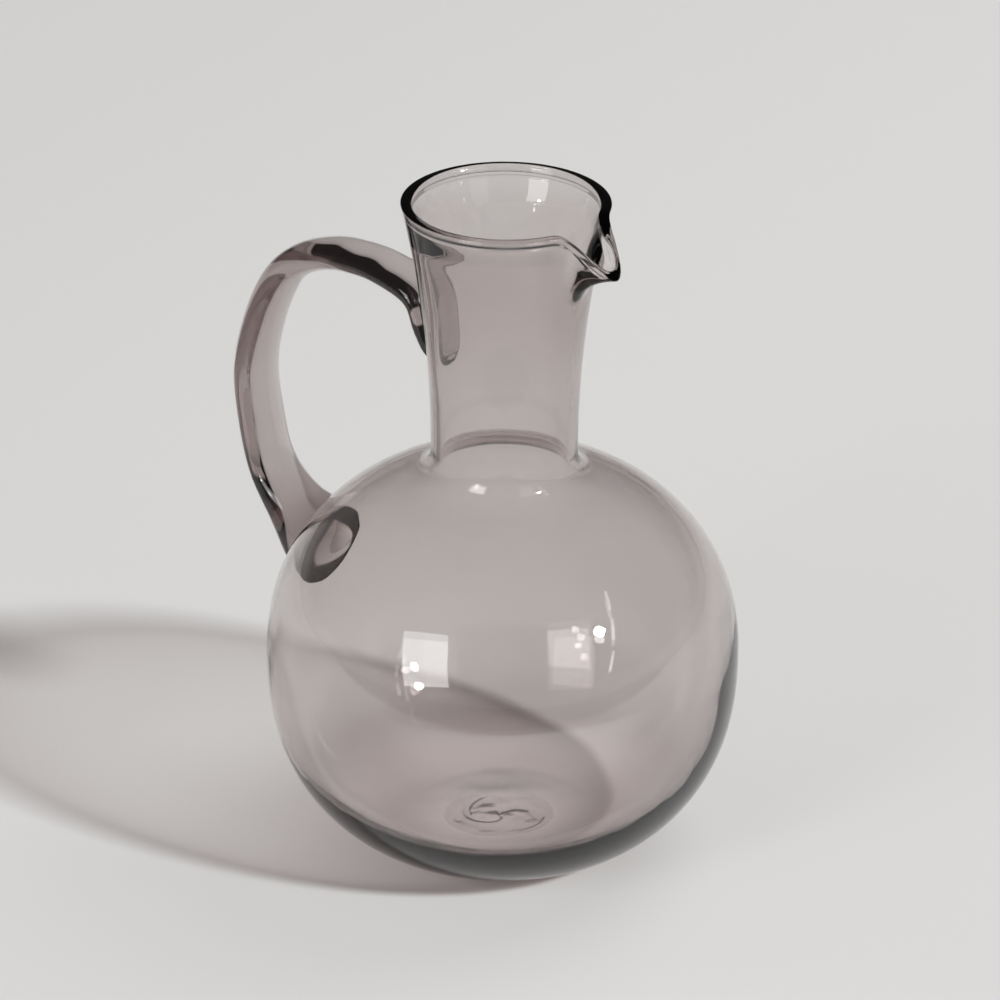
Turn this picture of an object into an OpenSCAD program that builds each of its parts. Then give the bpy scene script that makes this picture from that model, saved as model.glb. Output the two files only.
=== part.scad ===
// Blown glass pitcher: a globe with a thick base, a flared neck with a pinched spout, a strap handle
// laid on from a second gather, and the mark under the base where the iron was cracked off.
// Sizes are millimetres. The origin is the centre of the foot on the surface that it stands on,
// +Z runs up the neck and +X points along the spout.

/* [Globe] */
// Widest outside diameter of the globe
globe_d = 140; // [134:1:146]
// Height of the widest ring above the standing surface
globe_z = 60.5; // [57.5:0.5:63.5]
// Rise from the widest ring to where the shoulder's curve would close on the axis
shoulder_h = 61; // [59:1:64]
// Outside diameter of the flat ring that the pitcher stands on
foot_d = 64; // [60:1:70]
// Thickness of the floor at its middle
floor_t = 4; // [3.5:0.5:6]
// Thickness of the wall of the globe and the neck
wall_t = 2.6; // [2.2:0.1:3.2]

/* [Neck] */
// Height of the rim above the standing surface
pitcher_h = 204; // [198:0.5:210]
// Outside diameter where the neck is narrowest
neck_d = 43; // [40:1:46]
// Outside diameter of the round part of the rim
rim_d = 61; // [57:1:65]
// Thickness of the bead round the rim
rim_t = 3.4; // [3:0.1:4]
// Thickness of the wall just under the bead
lip_t = 2; // [1.7:0.1:2.2]

/* [Spout] */
// How far the tip of the spout stands out past the round rim
spout_reach = 8.5; // [6:0.5:10]
// How far the tip of the spout dips below the rim
spout_dip = 13; // [9:0.5:14]
// Angle from the spout's middle to each side of its beak
spout_angle = 32; // [28:1:40]
// Height of the lip that the spout is drawn from
spout_h = 30; // [26:1:34]

/* [Handle] */
// Distance from the neck's axis to the outside of the handle
handle_reach = 98; // [94:1:102]
// Height of the top of the handle's arch
handle_top = 177; // [174:1:180]
// Height of the middle of the handle's foot on the globe
handle_low = 76; // [74:1:80]
// Width of the strap at the middle of its arch
strap_w = 17; // [14:1:19]
// Thickness of the strap at the middle of its arch
strap_t = 8.5; // [7:0.5:9.5]

/* [Pontil mark] */
// Diameter of the wad of glass left under the base
pontil_d = 34; // [26:1:38]
// Diameter of the shallow hollow under the base that holds the mark
hollow_d = 56; // [50:1:58]
// Depth of that hollow at its middle
hollow_h = 1.4; // [1.2:0.1:1.8]

/* [Hidden] */

glass = [0.70, 0.64, 0.63];
glass_thick = [0.58, 0.53, 0.51];
$fn = 96;

globe_r = globe_d / 2;
foot_r = foot_d / 2;
neck_r = neck_d / 2;
rim_r = rim_d / 2;

// A globe's quarter outlines are superellipses: 2 would be a true ellipse, more is fuller
upper_power = 2.15;
lower_power = 2.37;
floor_power = 2.7;
quarter_steps = 24;

// The lower curve would close on the axis below the foot, where the foot cuts it off
lower_h = globe_z / pow(1 - pow(foot_r / globe_r, lower_power), 1 / lower_power);

// The shoulder turns into the neck on a curve between these two radii
shoulder_end_r = neck_r + 7;
neck_z = globe_z + shoulder_h + 4;
neck_power = 2.1;
neck_steps = 14;
turn_steps = 8;

// The lip starts this far up, and its lower edge is let into the wall below it
lip_z = pitcher_h - spout_h;
lip_inset = 0.04;
// The reach and the dip grow towards the rim with these powers of the height, so the lip bends near the rim
reach_power = 3;
dip_power = 1.4;
// The pull fades round the rim with this power of a cosine, so the beak is narrow
beak_power = 5;
// Heights this far apart give the slope of the lip
slope_step = 0.2;
lip_overlap = 0.5;
lip_sides = 90;
lip_steps = 8;
// The bead's section turns this far from the outside of the wall, over the top, to under its inner side
bead_turn = 235;
// The inside of the wall starts this many bead radii below the bead's middle
bead_drop = 1.6;
bead_steps = 9;

// The strap's stations, from the tail pressed on the neck, over the arch, to the foot on the globe:
// share of the reach, share of the rise, share of the strap's width, share of its thickness
handle_span = handle_reach - neck_r;
handle_rise = handle_top - handle_low;
handle_stations = [
    [0.01, 0.725, 0.30, 0.30],
    [0.035, 0.745, 0.70, 0.65],
    [0.065, 0.81, 0.90, 0.95],
    [0.115, 0.905, 1.00, 1.05],
    [0.28, 0.945, 0.94, 1.03],
    [0.55, 0.94, 0.92, 1.08],
    [0.806, 0.81, 1.00, 1.18],
    [0.893, 0.665, 1.015, 1.18],
    [0.94, 0.50, 1.03, 1.18],
    [0.916, 0.333, 1.05, 1.20],
    [0.86, 0.19, 1.08, 1.26],
    [0.745, 0.085, 1.22, 1.80],
    [0.608, 0.010, 1.62, 3.00],
    [0.529, -0.010, 1.64, 3.05]
];
strap_steps = 5;
strap_sides = 24;

pontil_r = pontil_d / 2;
hollow_r = hollow_d / 2;
hollow_steps = 12;
// The mark's lower face, from its edge to its middle: share of its radius, share of the hollow's height there
pontil_stations = [[0.94, 0.55], [0.84, 0.35], [0.72, 0.40], [0.55, 0.62], [0.30, 0.50], [0, 0.58]];

// Point on a globe's quarter outline, from the widest ring at 0 degrees to the axis at 90
function quarter(r, h, power, a) = [r * pow(cos(a), 2 / power), h * pow(sin(a), 2 / power)];

// Angle on that outline where its radius is r_at
function quarter_angle(r, power, r_at) = acos(pow(r_at / r, power / 2));

// Cubic curve from p0 to p3 that leaves and arrives along the lines to p1 and p2
function curve(p0, p1, p2, p3, t) =
    pow(1 - t, 3) * p0 + 3 * pow(1 - t, 2) * t * p1 + 3 * (1 - t) * t * t * p2 + t * t * t * p3;

// Outside radius of the neck at height z, a flare that steepens towards the rim
function neck_at(z) =
    neck_r + (rim_r - neck_r) * pow(max(0, z - neck_z) / (pitcher_h - neck_z), neck_power);

// Side of the wall from the widest ring up to the lip, inset from the outside
function upper_side(inset) =
    let (
        r = globe_r - inset,
        h = shoulder_h - inset,
        end_a = quarter_angle(r, upper_power, shoulder_end_r - inset),
        end_p = quarter(r, h, upper_power, end_a),
        fall = h / r * pow((end_p[0] / r) / (end_p[1] / h), upper_power - 1),
        start = [end_p[0], globe_z + end_p[1]],
        corner = [neck_r - inset, start[1] + fall * (end_p[0] - neck_r + inset)],
        stop = [neck_r - inset, neck_z]
    )
    concat(
        [
            for (i = [0 : quarter_steps - 1])
                let (p = quarter(r, h, upper_power, end_a * i / quarter_steps))
                [p[0], globe_z + p[1]]
        ],
        [
            for (i = [0 : turn_steps - 1])
                curve(start, (start + 2 * corner) / 3, (stop + 2 * corner) / 3, stop, i / turn_steps)
        ],
        [
            for (i = [0 : neck_steps])
                let (z = neck_z + (lip_z - neck_z) * i / neck_steps)
                [neck_at(z) - inset, z]
        ]
    );

// Outside of the globe from the foot up to just under the widest ring
function lower_outside() =
    let (foot_a = quarter_angle(globe_r, lower_power, foot_r))
    [
        for (i = [quarter_steps : -1 : 1])
            let (p = quarter(globe_r, lower_h, lower_power, foot_a * i / quarter_steps))
            [p[0], globe_z - p[1]]
    ];

// Inside of the globe from the middle of the floor up to just under the widest ring
function lower_inside() =
    [
        for (i = [quarter_steps : -1 : 1])
            let (p = quarter(globe_r - wall_t, globe_z - floor_t, floor_power, 90 * i / quarter_steps))
            [p[0], globe_z - p[1]]
    ];

// Height of the hollow under the base at radius r, level at its middle and at its edge
function hollow_at(r) = hollow_h * pow(cos(90 * r / hollow_r), 2);

function reversed(list) = [for (i = [len(list) - 1 : -1 : 0]) list[i]];

// The whole outside, filled, that the handle is pressed against
module outer_form() {
    rotate_extrude()
        polygon(concat([[0, 0]], lower_outside(), upper_side(0), [[rim_r, pitcher_h], [0, pitcher_h]]));
}

// Everything below the lip, with the hollow under the base
module turned_body() {
    rotate_extrude()
        polygon(concat(
            [for (i = [0 : hollow_steps]) let (r = hollow_r * i / hollow_steps) [r, hollow_at(r)]],
            lower_outside(),
            upper_side(0),
            reversed(upper_side(wall_t)),
            reversed(lower_inside())
        ));
}

// How much of the spout's pull the rim takes at an angle from the spout's middle
function spout_pull(a) = abs(a) < spout_angle ? pow(cos(90 * a / spout_angle), beak_power) : 0;

// The lip's section as a closed loop of [inset from the outside, height]
function lip_section() =
    let (
        bead_r = rim_t / 2,
        bead_z = pitcher_h - bead_r,
        rise = bead_z - lip_z,
        inner_rise = rise - bead_drop * bead_r
    )
    concat(
        [[lip_inset, lip_z - lip_overlap], [lip_inset, lip_z]],
        [for (i = [1 : lip_steps]) [0, lip_z + rise * i / lip_steps]],
        [
            for (i = [1 : bead_steps])
                let (a = bead_turn * i / bead_steps)
                [bead_r * (1 - cos(a)), bead_z + bead_r * sin(a)]
        ],
        [
            for (i = [lip_steps : -1 : 1])
                [wall_t + (lip_t - wall_t) * i / lip_steps, lip_z + inner_rise * i / lip_steps]
        ],
        [[wall_t - lip_inset, lip_z], [wall_t - lip_inset, lip_z - lip_overlap]]
    );

// Where the outside of the lip at a height is drawn to, as [radius, height]
function lip_path(z, pull) =
    let (up = min(1, max(0, z - lip_z) / (spout_h - rim_t / 2)))
    [neck_at(z) + pull * spout_reach * pow(up, reach_power), z - pull * spout_dip * pow(up, dip_power)];

// Which way the outside of the lip runs there
function lip_run(z, pull) =
    let (run = lip_path(z, pull) - lip_path(z - slope_step, pull))
    atan2(run[1], run[0]);

// One point of the lip: the wall turns with the run of its outside, so the spout keeps its thickness
function lip_point(section, a) =
    let (
        pull = spout_pull(a),
        z = min(section[1], pitcher_h - rim_t / 2),
        here = lip_path(z, pull),
        turn = lip_run(z, pull) - lip_run(z, 0),
        off = [neck_at(section[1]) - neck_at(z) - section[0], section[1] - z],
        r = here[0] + off[0] * cos(turn) - off[1] * sin(turn)
    )
    [r * cos(a), r * sin(a), here[1] + off[0] * sin(turn) + off[1] * cos(turn)];

// Faces of a tube of rings that closes on itself round each ring
function tube_faces(rings, sides, closed) =
    [
        for (k = [0 : closed ? rings - 1 : rings - 2], j = [0 : sides - 1])
            let (next_k = (k + 1) % rings, next_j = (j + 1) % sides)
            each [
                [k * sides + j, next_k * sides + next_j, k * sides + next_j],
                [k * sides + j, next_k * sides + j, next_k * sides + next_j]
            ]
    ];

module lip() {
    section = lip_section();
    polyhedron(
        points = [
            for (p = section, j = [0 : lip_sides - 1])
                lip_point(p, 360 * j / lip_sides - 180)
        ],
        faces = tube_faces(len(section), lip_sides, true)
    );
}

module vessel() {
    color(glass)
        union() {
            turned_body();
            lip();
        }
}

// A smooth curve through a list of stations, at a place counted in stations
function through(list, place) =
    let (
        last = len(list) - 1,
        i = min(floor(place), last - 1),
        t = place - i,
        a = list[max(i - 1, 0)],
        b = list[i],
        c = list[i + 1],
        d = list[min(i + 2, last)]
    )
    b + t * ((c - a) / 2 + t * ((2 * a - 5 * b + 4 * c - d) / 2 + t * (3 * b - a - 3 * c + d) / 2));

// One ring of the strap: a flat oval square to the strap's run
function strap_ring(place) =
    let (
        here = through(handle_stations, place),
        step = 0.01,
        ahead = through(handle_stations, min(place + step, len(handle_stations) - 1)),
        behind = through(handle_stations, max(place - step, 0)),
        run = [(ahead[0] - behind[0]) * handle_span, (ahead[1] - behind[1]) * handle_rise],
        across = [-run[1], run[0]] / norm(run)
    )
    [
        for (j = [0 : strap_sides - 1])
            let (
                a = 360 * j / strap_sides,
                lift = here[3] * strap_t / 2 * cos(a)
            )
            [
                -(neck_r + here[0] * handle_span + lift * across[0]),
                here[2] * strap_w / 2 * sin(a),
                handle_low + here[1] * handle_rise + lift * across[1]
            ]
    ];

module strap() {
    rings = (len(handle_stations) - 1) * strap_steps + 1;
    polyhedron(
        points = [for (k = [0 : rings - 1]) each strap_ring(k / strap_steps)],
        faces = concat(
            tube_faces(rings, strap_sides, false),
            [
                [for (j = [0 : strap_sides - 1]) j],
                [for (j = [strap_sides - 1 : -1 : 0]) (rings - 1) * strap_sides + j]
            ]
        )
    );
}

module handle() {
    color(glass_thick)
        difference() {
            strap();
            outer_form();
        }
}

// A low pad with a raised ring, hanging from the hollow
module pontil_mark() {
    color(glass_thick)
        rotate_extrude()
            polygon(concat(
                [for (i = [0 : hollow_steps]) let (r = pontil_r * i / hollow_steps) [r, hollow_at(r)]],
                [for (s = pontil_stations) [s[0] * pontil_r, s[1] * hollow_at(s[0] * pontil_r)]]
            ));
}

vessel();
handle();
pontil_mark();
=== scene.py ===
# %% [markdown]
# # A smoked glass pitcher
# This lesson dresses a packed construction model of a hand-blown pitcher. The model gives the sizes of
# the outside; here each piece is made again as smooth glass, in the same place, so that it can refract
# properly. Facets that are fine for building and weighing a part show up at once in clear glass.

import math

import bpy
import numpy as np
from mathutils import Matrix, Vector


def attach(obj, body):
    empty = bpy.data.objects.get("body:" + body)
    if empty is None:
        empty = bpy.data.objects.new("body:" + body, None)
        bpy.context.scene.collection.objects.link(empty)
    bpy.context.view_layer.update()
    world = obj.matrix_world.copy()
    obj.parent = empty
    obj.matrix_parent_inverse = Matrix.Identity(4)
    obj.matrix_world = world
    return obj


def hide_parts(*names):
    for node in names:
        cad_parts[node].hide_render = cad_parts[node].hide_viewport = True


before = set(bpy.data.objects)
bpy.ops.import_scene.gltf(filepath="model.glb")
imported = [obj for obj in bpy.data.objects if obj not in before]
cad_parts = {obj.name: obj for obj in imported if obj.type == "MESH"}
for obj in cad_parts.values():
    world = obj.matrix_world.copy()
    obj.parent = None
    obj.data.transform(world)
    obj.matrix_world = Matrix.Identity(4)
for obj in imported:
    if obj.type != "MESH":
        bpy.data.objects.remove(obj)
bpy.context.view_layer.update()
MM = 0.001

# %% [markdown]
# ## Small habits that save trouble
# An operator works on whatever is selected, and the model comes in selected. So each new piece starts
# with nothing selected, and leaves edit mode when it is done. Sizes are written in millimetres, as a
# glassblower would say them, and turned into metres when they reach Blender.

# %% Helpers for selecting and finishing


def nothing_selected():
    """Leave edit mode and let go of every object."""
    if bpy.context.object and bpy.context.object.mode != "OBJECT":
        bpy.ops.object.mode_set(mode="OBJECT")
    bpy.ops.object.select_all(action="DESELECT")


def only(piece):
    """Make one piece the selected and active one."""
    nothing_selected()
    piece.select_set(True)
    bpy.context.view_layer.objects.active = piece


def points_of(piece):
    """The piece's vertices as an array, in metres."""
    flat = np.zeros(len(piece.data.vertices) * 3)
    piece.data.vertices.foreach_get("co", flat)
    return flat.reshape(-1, 3)


def set_points(piece, points):
    """Put the piece's vertices where the array says."""
    piece.data.vertices.foreach_set("co", np.asarray(points, float).ravel())
    piece.data.update()


def size_note(piece):
    """Say how many faces a piece has and how large it is."""
    spread = np.ptp(points_of(piece), axis=0) / MM
    print(piece.name, len(piece.data.polygons), "faces,", spread.round(1).tolist(), "mm")


# %% [markdown]
# ## The pitcher's outline
# A blown globe is nearly a ball, a little squarer than a true ellipse, so each quarter of its outline is
# a superellipse. The shoulder turns into the neck on a soft curve, and the neck opens like a trumpet
# that steepens towards the rim. A curve drawn by eye would also do, but formulas keep the outline smooth
# enough for glass. These are the construction model's own sizes, in millimetres.

# %% Sizes of the outside
PITCHER_H = 204.0
FOOT_R = 32.0
GLOBE_R = 70.0
GLOBE_Z = 60.5
SHOULDER_H = 61.0
NECK_R = 21.5
NECK_Z = 125.5
RIM_R = 30.5
SHOULDER_TURN = 7.0
SHOULDER_END_R = NECK_R + SHOULDER_TURN
UPPER_POWER = 2.15
LOWER_POWER = 2.37
NECK_POWER = 2.1
LOWER_H = GLOBE_Z / (1 - (FOOT_R / GLOBE_R) ** LOWER_POWER) ** (1 / LOWER_POWER)
print("lower curve would close", round(LOWER_H - GLOBE_Z, 2), "mm below the foot")

# %% Curves of the outside


def quarter(r, h, power, a):
    """A point on a globe's quarter outline, from its widest ring at 0 to the axis at a quarter turn."""
    return np.array([r * abs(math.cos(a)) ** (2 / power), h * abs(math.sin(a)) ** (2 / power)])


def quarter_angle(r, power, r_at):
    """The angle on that outline where its radius is r_at."""
    return math.acos((r_at / r) ** (power / 2))


def lower_outside(inset, steps):
    """The globe's outside from the foot to just under the widest ring."""
    foot_a = quarter_angle(GLOBE_R, LOWER_POWER, FOOT_R)
    rows = [quarter(GLOBE_R, LOWER_H, LOWER_POWER, foot_a * i / steps) for i in range(steps, 0, -1)]
    return [np.array([p[0] - inset, GLOBE_Z - p[1]]) for p in rows]


def shoulder_side(inset, steps):
    """The wall's side from the widest ring up to the foot of the neck."""
    r, h = GLOBE_R - inset, SHOULDER_H - inset
    end_a = quarter_angle(r, UPPER_POWER, SHOULDER_END_R - inset)
    end = quarter(r, h, UPPER_POWER, end_a)
    fall = h / r * ((end[0] / r) / (end[1] / h)) ** (UPPER_POWER - 1)
    start = np.array([end[0], GLOBE_Z + end[1]])
    stop = np.array([NECK_R - inset, NECK_Z])
    corner = np.array([stop[0], start[1] + fall * (start[0] - stop[0])])
    globe = [quarter(r, h, UPPER_POWER, end_a * i / steps) + [0, GLOBE_Z] for i in range(steps)]
    lead_in, lead_out = (start + 2 * corner) / 3, (stop + 2 * corner) / 3
    turn = []
    for t in np.linspace(0, 1, steps // 3, endpoint=False):
        ends = (1 - t) ** 3 * start + t**3 * stop
        turn.append(ends + 3 * (1 - t) ** 2 * t * lead_in + 3 * (1 - t) * t * t * lead_out)
    return globe + turn


def neck_at(z):
    """The neck's outside radius at height z."""
    rise = np.maximum(0.0, z - NECK_Z) / (PITCHER_H - NECK_Z)
    return NECK_R + (RIM_R - NECK_R) * rise**NECK_POWER


def neck_side(inset, top_z, steps):
    """The neck's side up to the rim's bead."""
    return [np.array([neck_at(z) - inset, z]) for z in np.linspace(NECK_Z, top_z, steps)]


print("neck's radius half way up:", round(float(neck_at((NECK_Z + PITCHER_H) / 2)), 1), "mm")

# %% [markdown]
# ## The inside of the wall
# The wall is thin on the globe, where the bubble was blown out furthest, thicker up the neck and
# thickest under the rim. The floor is thick and turns up in a tight curve, and the base is a little
# hollow underneath. A Solidify modifier gives one thickness all over, so the inside is a curve of its
# own. It isn't seen directly: it was matched to how dark the glass looks at its edges.

# %% Sizes and curves of the inside
FLOOR_T = 4.0
WALL_T = 1.6
NECK_T = 2.7
MOUTH_T = 3.7
LIP_T = 2.3
WALL_TOP_Z = 80.0
MOUTH_LOW_Z, MOUTH_FULL_Z = 145.0, 172.0
LIP_LOW_Z = 192.0
FLOOR_POWER = 2.7
HOLLOW_R = 28.0
HOLLOW_H = 1.1


def ease(low, high, z):
    """0 below low, 1 above high, and a smooth change between them."""
    t = min(1.0, max(0.0, (z - low) / (high - low)))
    return t * t * (3 - 2 * t)


def upper_inside(top_z, steps):
    """The wall's inside from the rim down to the widest ring."""
    side = np.array(shoulder_side(0, steps) + neck_side(0, top_z, steps))
    run = np.gradient(side, axis=0)
    inward = np.stack([-run[:, 1], run[:, 0]], 1) / np.linalg.norm(run, axis=1)[:, None]
    rows = []
    for point, way in zip(side, inward):
        z = point[1]
        thick = WALL_T + (NECK_T - WALL_T) * ease(WALL_TOP_Z, NECK_Z, z)
        thick += (MOUTH_T - NECK_T) * ease(MOUTH_LOW_Z, MOUTH_FULL_Z, z)
        thick -= (MOUTH_T - LIP_T) * ease(LIP_LOW_Z, top_z, z)
        rows.append(point + way * thick)
    return rows[::-1]


def lower_inside(steps):
    """The globe's inside from just under the widest ring down to the middle of the floor."""
    turn = math.pi / 2
    wide, deep = GLOBE_R - WALL_T, GLOBE_Z - FLOOR_T
    rows = [quarter(wide, deep, FLOOR_POWER, turn * i / steps) for i in range(1, steps)]
    return [np.array([p[0], GLOBE_Z - p[1]]) for p in rows] + [np.array([0.0, FLOOR_T])]


def hollow_at(r):
    """Height of the shallow hollow under the base at a radius."""
    return HOLLOW_H * np.cos(np.minimum(r / HOLLOW_R, 1) * math.pi / 2) ** 2


print("glass in the middle of the base:", round(FLOOR_T - HOLLOW_H, 1), "mm")

# %% [markdown]
# ## From outline to solid: extrude a point, then spin it
# The pitcher is round, so one half of its section says everything. A plane is collapsed to a single
# vertex, that vertex is extruded along the section point by point, and Spin carries the line once
# round the axis. Corners on the line are rounded first with a vertex bevel, as fire rounds hot glass.

# %% Draw a section and spin it
SAME_POINT = 0.01
MERGE = 0.002
BEVEL_STEPS = 5


def spun(name, section, sides, rounded=()):
    """A closed turned shape from a section of [radius, height] points, with some corners rounded."""
    nothing_selected()
    bpy.ops.mesh.primitive_plane_add(size=MM)
    piece = bpy.context.object
    piece.name = piece.data.name = name
    bpy.ops.object.mode_set(mode="EDIT")
    bpy.ops.mesh.select_all(action="SELECT")
    bpy.ops.mesh.merge(type="CENTER")
    first = section[0] * MM
    bpy.ops.transform.translate(value=(first[0], 0, first[1]))
    for here, there in zip(section, section[1:]):
        step = (there - here) * MM
        bpy.ops.mesh.extrude_region_move(TRANSFORM_OT_translate={"value": (step[0], 0, step[1])})
    for corner, reach in rounded:
        bpy.ops.mesh.select_all(action="DESELECT")
        bpy.ops.object.mode_set(mode="OBJECT")
        for vertex in piece.data.vertices:
            off = np.hypot(vertex.co.x / MM - corner[0], vertex.co.z / MM - corner[1])
            vertex.select = bool(off < SAME_POINT)
        bpy.ops.object.mode_set(mode="EDIT")
        bpy.ops.mesh.bevel(offset=reach * MM, segments=BEVEL_STEPS, affect="VERTICES")
    bpy.ops.mesh.select_all(action="SELECT")
    bpy.ops.mesh.spin(steps=sides, angle=math.tau, center=(0, 0, 0), axis=(0, 0, 1))
    bpy.ops.mesh.select_all(action="SELECT")
    bpy.ops.mesh.remove_doubles(threshold=MERGE * MM)
    bpy.ops.mesh.normals_make_consistent(inside=False)
    bpy.ops.object.mode_set(mode="OBJECT")
    bpy.ops.object.shade_smooth()
    return piece


# %% The vessel's section and its round body
VESSEL_SIDES = 180
GLOBE_STEPS, NECK_STEPS, INSIDE_STEPS = 36, 40, 40
UNDER_STEPS, BEAD_STEPS = 16, 24
RIM_T = 3.5
RIM_ROUND = 1.25
RIM_SLOPE = math.radians(7)
BEAD_END = math.radians(235)
LIP_GAP = 0.4
FOOT_ROUND, RIM_CORNER = 2.5, 0.35
bead_mid = np.array([RIM_R - RIM_T + RIM_ROUND, PITCHER_H - RIM_ROUND])
bead_turn = np.linspace(math.pi / 2 - RIM_SLOPE, BEAD_END, BEAD_STEPS)
rim_bead = [bead_mid + RIM_ROUND * np.array([math.cos(a), math.sin(a)]) for a in bead_turn]
rim_edge_z = rim_bead[0][1] - (RIM_R - rim_bead[0][0]) * math.tan(RIM_SLOPE)
rim_edge = np.array([neck_at(rim_edge_z), rim_edge_z])
foot_edge = np.array([FOOT_R, 0.0])
underside = [np.array([r, hollow_at(r)]) for r in np.linspace(0, HOLLOW_R, UNDER_STEPS)]
outside = lower_outside(0, GLOBE_STEPS) + shoulder_side(0, GLOBE_STEPS)
outside += neck_side(0, rim_edge_z, NECK_STEPS)
inside = upper_inside(rim_bead[-1][1] - LIP_GAP, INSIDE_STEPS) + lower_inside(INSIDE_STEPS)
vessel = spun(
    "vessel_glass",
    underside + outside + rim_bead + inside,
    VESSEL_SIDES,
    rounded=((foot_edge, FOOT_ROUND), (rim_edge, RIM_CORNER)),
)
size_note(vessel)

# %% [markdown]
# ## An uneven wall
# A globe blown freehand is never quite even. Here one side of the lower wall is thicker, and the edge of
# the glass draws a dark line there. Sculpting could do it, but a formula moves only the inside, so the
# outline stays round.

# %% Thicken one side of the lower wall
THICK_SIDE = math.radians(37.0)
THICK_BY = 2.5
THICK_POWER = 1.5
THICK_FULL_Z, THICK_END_Z = 20.0, 74.0
THICK_FULL_R = 40.0
LOWER_TOP_Z = 90.0
WALL_SKIN, FLOOR_SKIN = 0.7, 1.0
p = points_of(vessel) / MM
radius, angle = np.hypot(p[:, 0], p[:, 1]), np.arctan2(p[:, 1], p[:, 0])
drop = np.clip((GLOBE_Z - p[:, 2]) / LOWER_H, 0, 1)
outer_r = GLOBE_R * (1 - drop**LOWER_POWER) ** (1 / LOWER_POWER)
is_inside = (radius < outer_r - WALL_SKIN) & (p[:, 2] < LOWER_TOP_Z)
is_inside &= p[:, 2] > hollow_at(radius) + FLOOR_SKIN
share = np.array([1 - ease(THICK_FULL_Z, THICK_END_Z, z) for z in p[:, 2]])
share *= is_inside * np.clip(radius / THICK_FULL_R, 0, 1)
share *= (0.5 + 0.5 * np.cos(angle - THICK_SIDE)) ** THICK_POWER
shrink = 1 - THICK_BY * share / np.maximum(radius, 1)
p[:, 0] *= shrink
p[:, 1] *= shrink
set_points(vessel, p * MM)
print("wall thicker by up to", round(float((THICK_BY * share).max()), 2), "mm")

# %% [markdown]
# ## The pouring lip
# While the rim is hot, one side is drawn out and down with a tool. The pull is full at the rim's middle
# and fades round the rim and down the neck. A smooth formula does this better than proportional
# editing: it says where the outside of the wall goes, and the wall turns with it, so that it keeps its
# thickness.

# %% Pull the spout
SPOUT_H = 30.0
SPOUT_REACH = 8.5
SPOUT_DIP = 13.0
SPOUT_ANGLE = 32.0
REACH_POWER = 3.0
DIP_POWER = 1.4
BEAK_POWER = 5
SLOPE_STEP = 0.2
BEAD_Z = PITCHER_H - RIM_T / 2


def lip_path(z, pull):
    """Where the outside of the wall at a height is drawn to: radius and height."""
    up = np.clip((z - PITCHER_H + SPOUT_H) / (SPOUT_H - RIM_T / 2), 0, 1)
    return neck_at(z) + pull * SPOUT_REACH * up**REACH_POWER, z - pull * SPOUT_DIP * up**DIP_POWER


def lip_run(z, pull):
    """Which way the outside of the wall runs there."""
    (r, h), (r_below, h_below) = lip_path(z, pull), lip_path(z - SLOPE_STEP, pull)
    return np.arctan2(h - h_below, r - r_below)


def pull_spout(piece):
    """Draw the rim out and down round +X."""
    p = points_of(piece) / MM
    radius, angle = np.hypot(p[:, 0], p[:, 1]), np.arctan2(p[:, 1], p[:, 0])
    near = np.clip(np.abs(np.degrees(angle)) / SPOUT_ANGLE, 0, 1)
    pull = np.cos(near * math.pi / 2) ** BEAK_POWER
    z = np.minimum(p[:, 2], BEAD_Z)
    turn = lip_run(z, pull) - lip_run(z, 0)
    off, rise = radius - neck_at(z), p[:, 2] - z
    out, up = lip_path(z, pull)
    out = out + off * np.cos(turn) - rise * np.sin(turn)
    up = up + off * np.sin(turn) + rise * np.cos(turn)
    set_points(piece, np.stack([out * np.cos(angle), out * np.sin(angle), up], 1) * MM)


pull_spout(vessel)
size_note(vessel)

# %% [markdown]
# ## The strap handle
# The handle is a gather of hot glass, pressed on the neck, drawn out, arched and pressed on the globe.
# A flat grid is rolled round the strap's path: one way along the grid is the run of the strap, the
# other goes round its oval section. Each station holds four shares: how far out the strap is, how high
# it is, how wide and how thick. They lie at about even steps, because a smooth curve kinks where the
# steps change. A shape pushed out along a path could not change its width and thickness apart.

# %% The strap's path
HANDLE_REACH = 98.0
HANDLE_LOW, HANDLE_HIGH = 76.0, 177.0
HANDLE_SPAN = HANDLE_REACH - NECK_R
HANDLE_RISE = HANDLE_HIGH - HANDLE_LOW
STRAP_W = 17.0
STRAP_T = 8.5
STATION_STEP = 0.01
STATIONS = np.array(
    [
        [0.01, 0.725, 0.30, 0.30],
        [0.035, 0.745, 0.70, 0.65],
        [0.065, 0.81, 0.90, 0.95],
        [0.115, 0.905, 1.00, 1.05],
        [0.28, 0.945, 0.94, 1.03],
        [0.409, 0.952, 0.93, 1.055],
        [0.55, 0.94, 0.92, 1.08],
        [0.697, 0.892, 0.96, 1.13],
        [0.806, 0.81, 1.00, 1.18],
        [0.893, 0.665, 1.015, 1.18],
        [0.94, 0.50, 1.03, 1.18],
        [0.916, 0.333, 1.05, 1.20],
        [0.86, 0.19, 1.08, 1.26],
        [0.745, 0.085, 1.22, 1.80],
        [0.608, 0.010, 1.62, 3.00],
        [0.529, -0.010, 1.64, 3.05],
    ]
)
LAST_STATION = len(STATIONS) - 1


def through_stations(place):
    """The smooth curve through the stations, at a place counted in stations."""
    i = min(int(place), LAST_STATION - 1)
    t = place - i
    a, b = STATIONS[max(i - 1, 0)], STATIONS[i]
    c, d = STATIONS[i + 1], STATIONS[min(i + 2, LAST_STATION)]
    slope, bend, twist = (c - a) / 2, (2 * a - 5 * b + 4 * c - d) / 2, (3 * b - a - 3 * c + d) / 2
    return b + t * (slope + t * (bend + t * twist))


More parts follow.
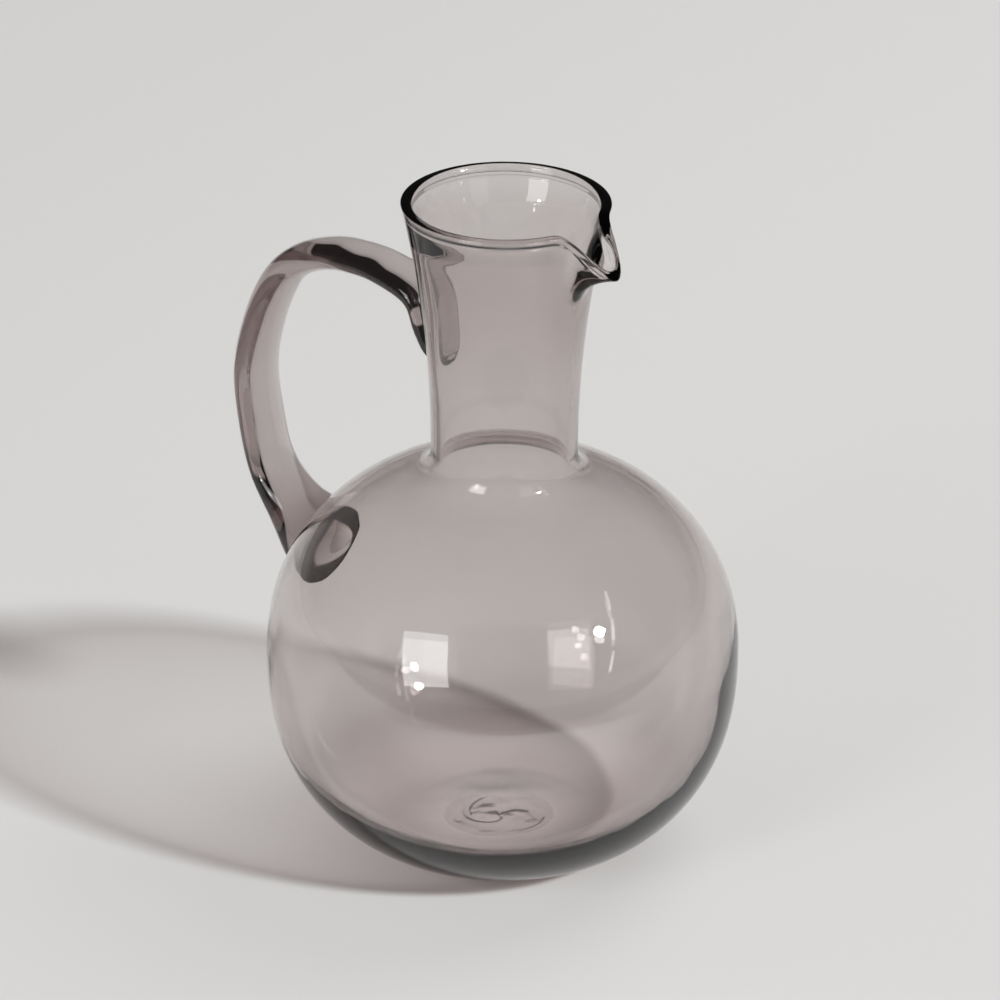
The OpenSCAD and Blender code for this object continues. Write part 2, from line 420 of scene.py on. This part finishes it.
def strap_point(place, angle):
    """A point on the strap's skin, in millimetres."""
    here = through_stations(place)
    ahead = through_stations(min(place + STATION_STEP, LAST_STATION))
    run = (ahead - through_stations(max(place - STATION_STEP, 0)))[:2] * [HANDLE_SPAN, HANDLE_RISE]
    across = np.array([-run[1], run[0]]) / np.linalg.norm(run)
    lift = here[3] * STRAP_T / 2 * math.cos(angle)
    out = NECK_R + here[0] * HANDLE_SPAN + lift * across[0]
    aside = here[2] * STRAP_W / 2 * math.sin(angle)
    return -out, aside, HANDLE_LOW + here[1] * HANDLE_RISE + lift * across[1]


legs = np.diff(STATIONS[:, :2] * [HANDLE_SPAN, HANDLE_RISE], axis=0)
print("strap:", len(STATIONS), "stations over about", round(float(np.hypot(*legs.T).sum())), "mm")

# %% Roll a grid into the strap
RUN_STEPS = 160
ROUND_STEPS = 40
nothing_selected()
bpy.ops.mesh.primitive_grid_add(x_subdivisions=RUN_STEPS, y_subdivisions=ROUND_STEPS, size=1)
handle = bpy.context.object
handle.name = handle.data.name = "handle_glass"
flat = points_of(handle)[:, :2] + 0.5
rolled = [strap_point(u * LAST_STATION, v * math.tau) for u, v in flat]
set_points(handle, np.array(rolled) * MM)
bpy.ops.object.mode_set(mode="EDIT")
bpy.ops.mesh.select_all(action="SELECT")
bpy.ops.mesh.remove_doubles(threshold=MERGE * MM)
bpy.ops.mesh.select_all(action="DESELECT")
bpy.ops.mesh.select_non_manifold()
bpy.ops.mesh.fill_holes(sides=0)
bpy.ops.mesh.select_all(action="SELECT")
bpy.ops.mesh.normals_make_consistent(inside=False)
bpy.ops.object.mode_set(mode="OBJECT")
size_note(handle)

# %% [markdown]
# ## Pressing the handle on
# The ends of the strap run into the vessel. A second turned shape, a little smaller than the vessel's
# outside, is cut from them with a Boolean modifier. So the ends stop inside the wall, where the two
# pieces of glass are one, and nothing sticks through to the inside.

# %% Cut the handle's ends to the wall
FUSED = 1.1
form = [np.array([0.0, FUSED])] + lower_outside(FUSED, GLOBE_STEPS)[1:]
form += shoulder_side(FUSED, GLOBE_STEPS)
form += neck_side(FUSED, PITCHER_H, NECK_STEPS) + [np.array([0.0, PITCHER_H])]
press = spun("press", form, VESSEL_SIDES)
only(handle)
bpy.ops.object.modifier_add(type="BOOLEAN")
cut = handle.modifiers[-1]
cut.operation = "DIFFERENCE"
cut.solver = "EXACT"
cut.object = press
bpy.ops.object.modifier_apply(modifier=cut.name)
bpy.data.objects.remove(press)
size_note(handle)

# %% [markdown]
# ## Cleaning the cut
# The cut leaves a few points in the middle of an edge, where only two edges meet. They carry no shape,
# and they turn into empty slivers when the mesh is made of triangles, so they are dissolved.

# %% Dissolve the points that only two edges meet
STRAP_CREASE = math.radians(40)
bpy.ops.object.mode_set(mode="EDIT")
bpy.ops.mesh.select_all(action="DESELECT")
bpy.ops.object.mode_set(mode="OBJECT")
edge_ends = np.array([edge.vertices[:] for edge in handle.data.edges])
edges_met = np.bincount(edge_ends.ravel(), minlength=len(handle.data.vertices))
for vertex, met in zip(handle.data.vertices, edges_met):
    vertex.select = bool(met == 2)
bpy.ops.object.mode_set(mode="EDIT")
bpy.ops.mesh.dissolve_verts()
bpy.ops.object.mode_set(mode="OBJECT")
bpy.ops.object.shade_smooth_by_angle(angle=STRAP_CREASE)
print("points dissolved:", int((edges_met == 2).sum()))

# %% [markdown]
# ## The pontil mark
# A blown piece is held on an iron rod while its rim is worked. Cracking it off leaves a rough scar
# under the base. It is a turned pad in the hollow, thin at its edge so that no ring shows. Its lower
# face is drawn into a swirl by a formula and torn by a Displace modifier, so that through the floor it
# shows as strokes of light.

# %% A thin pad of glass
PONTIL_R = 17.0
PAD_SIDES = 120
PAD_TAPER = 8.0
PAD_EDGE = 0.1
PAD_TOP, PAD_CROWN, PAD_TOP_R, PAD_TOP_STEPS = 0.12, 0.5, PONTIL_R - 0.8, 24
PAD_UNDER, PAD_HANG, PAD_UNDER_R, PAD_UNDER_STEPS = 0.08, 0.28, PONTIL_R - 0.6, 48


def pad_point(r, gap, swell):
    """A point of the pad's section: a gap above the hollow, and a swell that fades out at the edge."""
    return np.array([r, hollow_at(r) + gap + swell * ease(0, PAD_TAPER, PONTIL_R - r)])


pad_top = [pad_point(r, PAD_TOP, PAD_CROWN) for r in np.linspace(0, PAD_TOP_R, PAD_TOP_STEPS)]
pad_edge = [pad_point(PONTIL_R, PAD_EDGE, 0)]
pad_under = [pad_point(r, PAD_UNDER, -PAD_HANG) for r in np.linspace(PAD_UNDER_R, 0, PAD_UNDER_STEPS)]
pontil = spun("pontil_scar", pad_top + pad_edge + pad_under, PAD_SIDES)
size_note(pontil)

# %% Swirl and tear its lower face
SWIRL_DEPTH = 0.75
SWIRL_ARMS, SWIRL_WIND, SWIRL_START, SWIRL_WIDTH = 2, 0.42, 0.4, 0.28
SWAY, SWAY_WIND = 0.8, 0.31
TORN_FADE = 5.0
TEAR_SIZE, TEAR_DEPTH = 7.0, 0.9
PAD_LOW = 0.12
SCAR_CREASE = math.radians(60)
p = points_of(pontil) / MM
radius, angle = np.hypot(p[:, 0], p[:, 1]), np.arctan2(p[:, 1], p[:, 0])
fade = np.clip((PONTIL_R - radius) / TORN_FADE, 0, 1) * (p[:, 2] < hollow_at(radius))
twist = angle * SWIRL_ARMS + radius * SWIRL_WIND + SWAY * np.sin(radius * SWAY_WIND + angle)
swirl = np.exp(-((np.sin(twist / 2 + SWIRL_START) / SWIRL_WIDTH) ** 2))
p[:, 2] -= fade * SWIRL_DEPTH * swirl
set_points(pontil, p * MM)
only(pontil)
torn = pontil.vertex_groups.new(name="torn")
for vertex, share in zip(pontil.data.vertices, fade):
    torn.add([vertex.index], float(share), "REPLACE")
tear = bpy.data.textures.new("tear", "CLOUDS")
tear.noise_scale = TEAR_SIZE * MM
tear.noise_depth = 1
bpy.ops.object.modifier_add(type="DISPLACE")
lumps = pontil.modifiers[-1]
lumps.texture = tear
lumps.texture_coords = "LOCAL"
lumps.vertex_group = "torn"
lumps.direction = "Z"
lumps.mid_level = 0.5
lumps.strength = TEAR_DEPTH * MM
bpy.ops.object.modifier_apply(modifier=lumps.name)
p = points_of(pontil)
p[:, 2] = np.maximum(p[:, 2], PAD_LOW * MM)
set_points(pontil, p)
bpy.ops.object.shade_smooth_by_angle(angle=SCAR_CREASE)
size_note(pontil)

# %% [markdown]
# ## Smoked glass
# The colour of smoked glass is in its body: light is taken off along the whole way through, so a thin
# wall is pale mauve while a thick base or a rod seen along its length is nearly black. Volume
# Absorption does that. The surface is clear, slightly rippled from blowing, and lamps shine through
# it, so that the shadow is soft and tinted instead of black. A flat tint on the surface would be
# simpler, but then a thick part looks no darker than a thin one.

# %% Glass material
GLASS_IOR = 1.5
BODY_COLOUR = (0.20, 0.05, 0.03, 1)
DRAWN_OUT = (1.0, 1.0, 0.45)
STREAK_SCALE, STREAK_WAVER = 28.0, 0.6
STREAK_TINTS = ((0.3, (0.985, 0.972, 0.968, 1)), (0.7, (1.0, 0.993, 0.990, 1)))


def smoked_glass(name, ripple_size, ripple_depth, streak_turn, density, roughness=0.0, clearness=1.0):
    """A clear, faintly rippled surface over an absorbing body, or a torn one that is frosted."""
    material = bpy.data.materials.new(name)
    material.use_nodes = True
    tree = material.node_tree
    nodes, links = tree.nodes, tree.links
    nodes.clear()
    out = nodes.new("ShaderNodeOutputMaterial")
    skin = nodes.new("ShaderNodeBsdfPrincipled")
    skin.inputs["Roughness"].default_value = roughness
    skin.inputs["IOR"].default_value = GLASS_IOR
    skin.inputs["Transmission Weight"].default_value = clearness
    place = nodes.new("ShaderNodeTexCoord")
    stretch = nodes.new("ShaderNodeMapping")
    stretch.inputs["Rotation"].default_value = (0.0, 0.0, streak_turn)
    stretch.inputs["Scale"].default_value = DRAWN_OUT
    ripple = nodes.new("ShaderNodeTexNoise")
    ripple.inputs["Scale"].default_value = 1 / (ripple_size * MM)
    ripple.inputs["Detail"].default_value = 1.0
    bump = nodes.new("ShaderNodeBump")
    bump.inputs["Strength"].default_value = 1.0
    bump.inputs["Distance"].default_value = ripple_depth * MM
    links.new(place.outputs["Object"], stretch.inputs["Vector"])
    links.new(stretch.outputs["Vector"], ripple.inputs["Vector"])
    links.new(ripple.outputs["Fac"], bump.inputs["Height"])
    links.new(bump.outputs["Normal"], skin.inputs["Normal"])
    streak = nodes.new("ShaderNodeTexNoise")
    streak.inputs["Scale"].default_value = STREAK_SCALE
    streak.inputs["Detail"].default_value = 2.0
    streak.inputs["Distortion"].default_value = STREAK_WAVER
    tint = nodes.new("ShaderNodeValToRGB")
    for stop, (position, colour) in zip(tint.color_ramp.elements, STREAK_TINTS):
        stop.position = position
        stop.color = colour
    links.new(stretch.outputs["Vector"], streak.inputs["Vector"])
    links.new(streak.outputs["Fac"], tint.inputs["Fac"])
    links.new(tint.outputs["Color"], skin.inputs["Base Color"])
    body = nodes.new("ShaderNodeVolumeAbsorption")
    body.inputs["Color"].default_value = BODY_COLOUR
    body.inputs["Density"].default_value = density
    links.new(body.outputs["Volume"], out.inputs["Volume"])
    lamps = nodes.new("ShaderNodeLightPath")
    clear = nodes.new("ShaderNodeBsdfTransparent")
    clear.inputs["Color"].default_value = (1.0, 1.0, 1.0, 1)
    either = nodes.new("ShaderNodeMixShader")
    links.new(lamps.outputs["Is Shadow Ray"], either.inputs["Fac"])
    links.new(skin.outputs["BSDF"], either.inputs[1])
    links.new(clear.outputs["BSDF"], either.inputs[2])
    links.new(either.outputs["Shader"], out.inputs["Surface"])
    return material


# %% Give each piece its finish
VESSEL_DENSITY, HANDLE_DENSITY = 92.0, 54.0
vessel_finish = smoked_glass(
    "smoked_glass_blown", ripple_size=16.0, ripple_depth=0.14, streak_turn=0.4, density=VESSEL_DENSITY
)
handle_finish = smoked_glass(
    "smoked_glass_drawn", ripple_size=9.0, ripple_depth=0.08, streak_turn=0.0, density=HANDLE_DENSITY
)
scar_finish = smoked_glass(
    "smoked_glass_torn",
    ripple_size=2.5,
    ripple_depth=0.10,
    streak_turn=1.1,
    density=VESSEL_DENSITY,
    roughness=0.15,
    clearness=0.9,
)
for piece, finish in ((vessel, vessel_finish), (handle, handle_finish), (pontil, scar_finish)):
    piece.data.materials.clear()
    piece.data.materials.append(finish)
print("finishes:", vessel_finish.name, handle_finish.name, scar_finish.name)

# %% [markdown]
# ## Ride and replace
# Each smooth piece stands for one node of the construction model and moves with the same body.

# %% Tie the pieces to the model
for piece, node, slot in (
    (vessel, "vessel", "smoked_glass"),
    (handle, "handle", "smoked_glass_solid"),
    (pontil, "pontil_mark", "smoked_glass_solid"),
):
    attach(piece, "root")
    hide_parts(node)
    print(piece.name, "replaces", node)

# %% [markdown]
# ## A pale floor
# Clear glass only shows what is round it. The pitcher stands on a wide sheet of pale paper, which shines
# through its walls and takes its shadow. A plane is enough, as nobody sees its ends. From below the
# paper isn't there, so that the base can be looked at.

# %% Floor
CAMERA_TURN = math.radians(37.0)
FLOOR_SIZE = 24.0
FLOOR_Z = -0.2
PAPER_COLOUR = (0.70, 0.697, 0.692, 1)
toward = np.array([math.sin(CAMERA_TURN), -math.cos(CAMERA_TURN), 0.0])
rightward = np.array([math.cos(CAMERA_TURN), math.sin(CAMERA_TURN), 0.0])
nothing_selected()
bpy.ops.mesh.primitive_plane_add(size=FLOOR_SIZE, location=(0, 0, FLOOR_Z * MM))
floor = bpy.context.object
floor.name = "floor"
paper = bpy.data.materials.new("pale_paper")
paper.use_nodes = True
nodes, links = paper.node_tree.nodes, paper.node_tree.links
paper_skin = nodes["Principled BSDF"]
paper_skin.inputs["Base Color"].default_value = PAPER_COLOUR
paper_skin.inputs["Roughness"].default_value = 0.9
paper_skin.inputs["Specular IOR Level"].default_value = 0.1
facing = nodes.new("ShaderNodeNewGeometry")
unseen = nodes.new("ShaderNodeBsdfTransparent")
one_sided = nodes.new("ShaderNodeMixShader")
links.new(facing.outputs["Backfacing"], one_sided.inputs["Fac"])
links.new(paper_skin.outputs["BSDF"], one_sided.inputs[1])
links.new(unseen.outputs["BSDF"], one_sided.inputs[2])
links.new(one_sided.outputs["Shader"], nodes["Material Output"].inputs["Surface"])
floor.data.materials.append(paper)
print("floor:", floor.name, "of", paper.name)

# %% [markdown]
# ## Cards that only the glass sees
# The globe mirrors and bends the edge of the studio table into a wide arc. To get it, a near-black sheet
# lies in front of the pitcher, hidden from the camera, the lamps and the floor, so that it is only a
# painted dark reflection in the glass. Light that has come through more than one wall passes it, so
# that it doesn't darken the far side of the globe.

# %% The dark card


def hidden_card(name, wide, deep, place):
    """A flat sheet that only the glass sees, turned to face the camera."""
    nothing_selected()
    bpy.ops.mesh.primitive_plane_add(size=1.0)
    card = bpy.context.object
    card.name = name
    card.scale = (wide, deep, 1.0)
    card.rotation_euler = (0, 0, CAMERA_TURN)
    card.location = place
    card.visible_camera = card.visible_diffuse = card.visible_shadow = False
    return card


CARD_NEAR = 0.29
CARD_WIDE, CARD_DEEP = 16.0, 4.0
CARD_Z = 2.0
# Painted dark reflection: the near-black colour of a sheet that only the glass sees.
DARK_REFLECTION_COLOUR = (0.02, 0.02, 0.02, 1)
ONE_WALL = 2.5
dark_reflection_finish = bpy.data.materials.new("painted_dark_reflection")
dark_reflection_finish.use_nodes = True
nodes, links = dark_reflection_finish.node_tree.nodes, dark_reflection_finish.node_tree.links
dark_reflection_skin = nodes["Principled BSDF"]
dark_reflection_skin.inputs["Base Color"].default_value = DARK_REFLECTION_COLOUR
dark_reflection_skin.inputs["Roughness"].default_value = 1.0
dark_reflection_skin.inputs["Specular IOR Level"].default_value = 0.0
passes = nodes.new("ShaderNodeLightPath")
past_one_wall = nodes.new("ShaderNodeMath")
past_one_wall.operation = "GREATER_THAN"
past_one_wall.inputs[1].default_value = ONE_WALL
gone = nodes.new("ShaderNodeBsdfTransparent")
dark_reflection_or_gone = nodes.new("ShaderNodeMixShader")
links.new(passes.outputs["Transmission Depth"], past_one_wall.inputs[0])
links.new(past_one_wall.outputs["Value"], dark_reflection_or_gone.inputs["Fac"])
links.new(dark_reflection_skin.outputs["BSDF"], dark_reflection_or_gone.inputs[1])
links.new(gone.outputs["BSDF"], dark_reflection_or_gone.inputs[2])
links.new(dark_reflection_or_gone.outputs["Shader"], nodes["Material Output"].inputs["Surface"])
card_place = toward * (CARD_NEAR + CARD_DEEP / 2)
card = hidden_card("painted_reflection_card", CARD_WIDE, CARD_DEEP, (*card_place[:2], CARD_Z * MM))
card.data.materials.append(dark_reflection_finish)
print("card:", card.name, "from", CARD_NEAR, "m outwards")

# %% [markdown]
# ## Bright patches of painted light
# Two weak glows, which are no lamps, finish the base. One lies on the table in front and is seen only in
# reflections, a painted reflection of the table's edge mirrored low on the globe; the other lies under
# the base and is seen only through the glass, a painted pool of light that lights the scar from below.
# Each fades out towards its edge, adds to what lies under it, and reaches only glass that is near by, so
# that the neck doesn't mirror it. A lamp would also brighten the floor.

# %% Bright patches that only the glass sees
GLOW_FULL_TO, GLOW_END = 0.2, 0.5
NEAR_FULL_TO, NEAR_END = 0.23, 0.25


def bright_patch(name, wide, deep, place, brightest):
    """A glowing sheet of painted light that fades outwards from its middle and reaches only glass near
    by.
    """
    card = hidden_card(name, wide, deep, place)
    glow = bpy.data.materials.new(name + "_glow")
    glow.use_nodes = True
    nodes, links = glow.node_tree.nodes, glow.node_tree.links
    nodes.clear()
    out = nodes.new("ShaderNodeOutputMaterial")
    light = nodes.new("ShaderNodeEmission")
    clear = nodes.new("ShaderNodeBsdfTransparent")
    both = nodes.new("ShaderNodeAddShader")
    at = nodes.new("ShaderNodeTexCoord")
    path = nodes.new("ShaderNodeLightPath")
    near_by = nodes.new("ShaderNodeMapRange")
    near_by.inputs["From Min"].default_value = NEAR_END
    near_by.inputs["From Max"].default_value = NEAR_FULL_TO
    shine = nodes.new("ShaderNodeMath")
    shine.operation = "MULTIPLY"
    far = nodes.new("ShaderNodeVectorMath")
    far.operation = "LENGTH"
    fade = nodes.new("ShaderNodeMapRange")
    fade.interpolation_type = "SMOOTHSTEP"
    fade.inputs["From Min"].default_value = GLOW_FULL_TO
    fade.inputs["From Max"].default_value = GLOW_END
    fade.inputs["To Min"].default_value = brightest
    fade.inputs["To Max"].default_value = 0.0
    links.new(at.outputs["Object"], far.inputs[0])
    links.new(far.outputs["Value"], fade.inputs["Value"])
    links.new(path.outputs["Ray Length"], near_by.inputs["Value"])
    links.new(fade.outputs["Result"], shine.inputs[0])
    links.new(near_by.outputs["Result"], shine.inputs[1])
    links.new(shine.outputs["Value"], light.inputs["Strength"])
    links.new(light.outputs["Emission"], both.inputs[0])
    links.new(clear.outputs["BSDF"], both.inputs[1])
    links.new(both.outputs["Shader"], out.inputs["Surface"])
    card.data.materials.append(glow)
    return card


# %% Lay the two patches
EDGE_FRONT, EDGE_RIGHT, EDGE_Z = 0.20, 0.06, 1.0
EDGE_WIDE, EDGE_DEEP, EDGE_GLOW = 0.62, 0.26, 1.5
UNDER_PLACE, UNDER_SIZE, UNDER_GLOW = (-4.0, 2.0, -0.1), 0.14, 0.5
edge_place = (*(toward * EDGE_FRONT + rightward * EDGE_RIGHT)[:2], EDGE_Z * MM)
# Painted reflection of the table's edge: a glow that only reflections in the glass see.
edge_reflection_patch = bright_patch("painted_table_reflection", EDGE_WIDE, EDGE_DEEP, edge_place, EDGE_GLOW)
edge_reflection_patch.visible_transmission = False
under_place = [size * MM for size in UNDER_PLACE]
# Painted pool of light under the base: a glow seen only through the glass.
under_base = bright_patch("painted_light_under_base", UNDER_SIZE, UNDER_SIZE, under_place, UNDER_GLOW)
under_base.visible_glossy = False
print("patches:", edge_reflection_patch.name, under_base.name)

# %% [markdown]
# ## Soft studio light
# One strong lamp gives the shadow. Two softboxes give the square highlights on the globe, three short
# strips and two small round lamps give the bright spots beside them, and a wide lamp overhead, which
# the glass doesn't mirror, fills the shadow. Each lamp is placed by its compass turn and its rise from
# the pitcher, in degrees, because a reflection moves with those and not with the distance.

# %% Lamps
AIM_Z = 0.08
BOX_FAR = 1.6


def aimed_lamp(name, kind, turn, rise, distance, roll=0.0):
    """A lamp at a compass turn and rise from the pitcher, aimed at its middle."""
    turn, rise = math.radians(turn), math.radians(rise)
    level = math.cos(rise)
    way = np.array([math.sin(turn) * level, -math.cos(turn) * level, math.sin(rise)])
    nothing_selected()
    bpy.ops.object.light_add(type=kind, location=way * distance + [0, 0, AIM_Z])
    lamp = bpy.context.object
    lamp.name = name
    facing = Matrix.Rotation(turn, 3, "Z") @ Matrix.Rotation(math.pi / 2 - rise, 3, "X")
    lamp.rotation_euler = (facing @ Matrix.Rotation(math.radians(roll), 3, "Z")).to_euler()
    return lamp


def softbox(name, turn, rise, wide, high, glow, roll):
    """A flat lamp of even glow, where 1 is as bright as white paper in full light."""
    lamp = aimed_lamp(name, "AREA", turn, rise, BOX_FAR, roll)
    lamp.data.shape = "RECTANGLE"
    lamp.data.size = wide
    lamp.data.size_y = high
    lamp.data.energy = glow * wide * high * math.pi
    return lamp


key = aimed_lamp("key_lamp", "SUN", turn=94, rise=33, distance=2.5)
key.data.angle = math.radians(6.0)
key.data.energy = 3.4
key.data.color = (1.0, 0.99, 0.975)
near_box = softbox("softbox_left", turn=-3, rise=21, wide=0.62, high=0.88, glow=4.6, roll=16)
far_box = softbox("softbox_right", turn=73, rise=26, wide=0.58, high=1.15, glow=0.8, roll=-14)
fill = aimed_lamp("overhead_fill", "AREA", turn=166, rise=52, distance=1.7)
fill.data.shape = "DISK"
fill.data.size = 1.4
fill.data.energy = 9.6
fill.visible_glossy = False
fill.visible_transmission = False
print("lamps:", key.name, near_box.name, far_box.name, fill.name)

# %% Small lamps for the bright spots
STRIP_OFFSETS = (-0.48, 0.0, 0.46)
SPOTS = (("spot_high", -6.6, 15.6), ("spot_low", -2.3, 5.5))
SPOT_FAR = 1.45
SPOT_WIDE = 0.11
SPOT_GLOW = 30.0
for offset in STRIP_OFFSETS:
    strip = softbox("strip_lamp", turn=101, rise=30, wide=0.05, high=0.32, glow=4.5, roll=-30)
    strip.location += strip.rotation_euler.to_matrix() @ Vector((0, offset, 0))
for name, turn, rise in SPOTS:
    spot_lamp = aimed_lamp(name, "AREA", turn, rise, SPOT_FAR)
    spot_lamp.data.shape = "DISK"
    spot_lamp.data.size = SPOT_WIDE
    spot_lamp.data.energy = SPOT_GLOW * math.pi * math.pi * (SPOT_WIDE / 2) ** 2
print("small lamps:", len(STRIP_OFFSETS), "strips and", len(SPOTS), "round ones")

# %% [markdown]
# ## The room
# Straight at the camera, and low down through the glass, the room is as pale as the floor. In
# reflections and high up it is dark, and that draws the rim and the edges as dark lines. One even
# background would leave the glass without edges.

# %% World
PALE_ROOM = (0.66, 0.655, 0.645, 1)
DARK_ROOM = (0.03, 0.029, 0.028, 1)
PALE_TO, DARK_FROM = 0.10, 0.16
world = bpy.data.worlds.new("studio_room")
bpy.context.scene.world = world
world.use_nodes = True
nodes, links = world.node_tree.nodes, world.node_tree.links
nodes.clear()
room_out = nodes.new("ShaderNodeOutputWorld")
pale = nodes.new("ShaderNodeBackground")
pale.inputs["Color"].default_value = PALE_ROOM
dark = nodes.new("ShaderNodeBackground")
dark.inputs["Color"].default_value = DARK_ROOM
path = nodes.new("ShaderNodeLightPath")
where = nodes.new("ShaderNodeTexCoord")
axes = nodes.new("ShaderNodeSeparateXYZ")
low_band = nodes.new("ShaderNodeMapRange")
low_band.inputs["From Min"].default_value = DARK_FROM
low_band.inputs["From Max"].default_value = PALE_TO
through_glass = nodes.new("ShaderNodeMath")
through_glass.operation = "MULTIPLY"
shown = nodes.new("ShaderNodeMath")
shown.operation = "MAXIMUM"
pick = nodes.new("ShaderNodeMixShader")
links.new(where.outputs["Generated"], axes.inputs["Vector"])
links.new(axes.outputs["Z"], low_band.inputs["Value"])
links.new(low_band.outputs["Result"], through_glass.inputs[0])
links.new(path.outputs["Is Transmission Ray"], through_glass.inputs[1])
links.new(through_glass.outputs["Value"], shown.inputs[0])
links.new(path.outputs["Is Camera Ray"], shown.inputs[1])
links.new(shown.outputs["Value"], pick.inputs["Fac"])
links.new(dark.outputs["Background"], pick.inputs[1])
links.new(pale.outputs["Background"], pick.inputs[2])
links.new(pick.outputs["Shader"], room_out.inputs["Surface"])
print("room:", world.name)

# %% [markdown]
# ## The camera
# A long lens from a little above, turned so that the spout points to the right and the handle to the
# left. The small shift and roll place the pitcher in the frame. Light needs many bounces to come
# through four walls of glass, so their number is raised.

# %% Camera and colour
CAMERA_RISE = math.radians(26.0)
CAMERA_ROLL = 0.008
CAMERA_FAR = 1.8
LOOK_AT = np.array([0.0, 0.0, 0.09767])
SENSOR_W = 36.0
LENS = 220.29
SHIFT_X, SHIFT_Y = -0.0035, 0.0346
BOUNCES = 24
forward = -toward * math.cos(CAMERA_RISE) - np.array([0.0, 0.0, math.sin(CAMERA_RISE)])
upward = np.cross(rightward, forward)
side = math.cos(CAMERA_ROLL) * rightward + math.sin(CAMERA_ROLL) * upward
top = math.cos(CAMERA_ROLL) * upward - math.sin(CAMERA_ROLL) * rightward
spot = LOOK_AT - CAMERA_FAR * forward
nothing_selected()
bpy.ops.object.camera_add(location=spot)
camera = bpy.context.object
camera.matrix_world = [[*side, 0], [*top, 0], [*-forward, 0], [*spot, 1]]
camera.data.sensor_width = SENSOR_W
camera.data.lens = LENS
camera.data.shift_x = SHIFT_X
camera.data.shift_y = SHIFT_Y
scene = bpy.context.scene
scene.camera = camera
scene.view_settings.view_transform = "Standard"
scene.cycles.caustics_reflective = False
scene.cycles.caustics_refractive = False
scene.cycles.max_bounces = BOUNCES
scene.cycles.transmission_bounces = BOUNCES
scene.cycles.transparent_max_bounces = BOUNCES
print("camera at", spot.round(3).tolist())
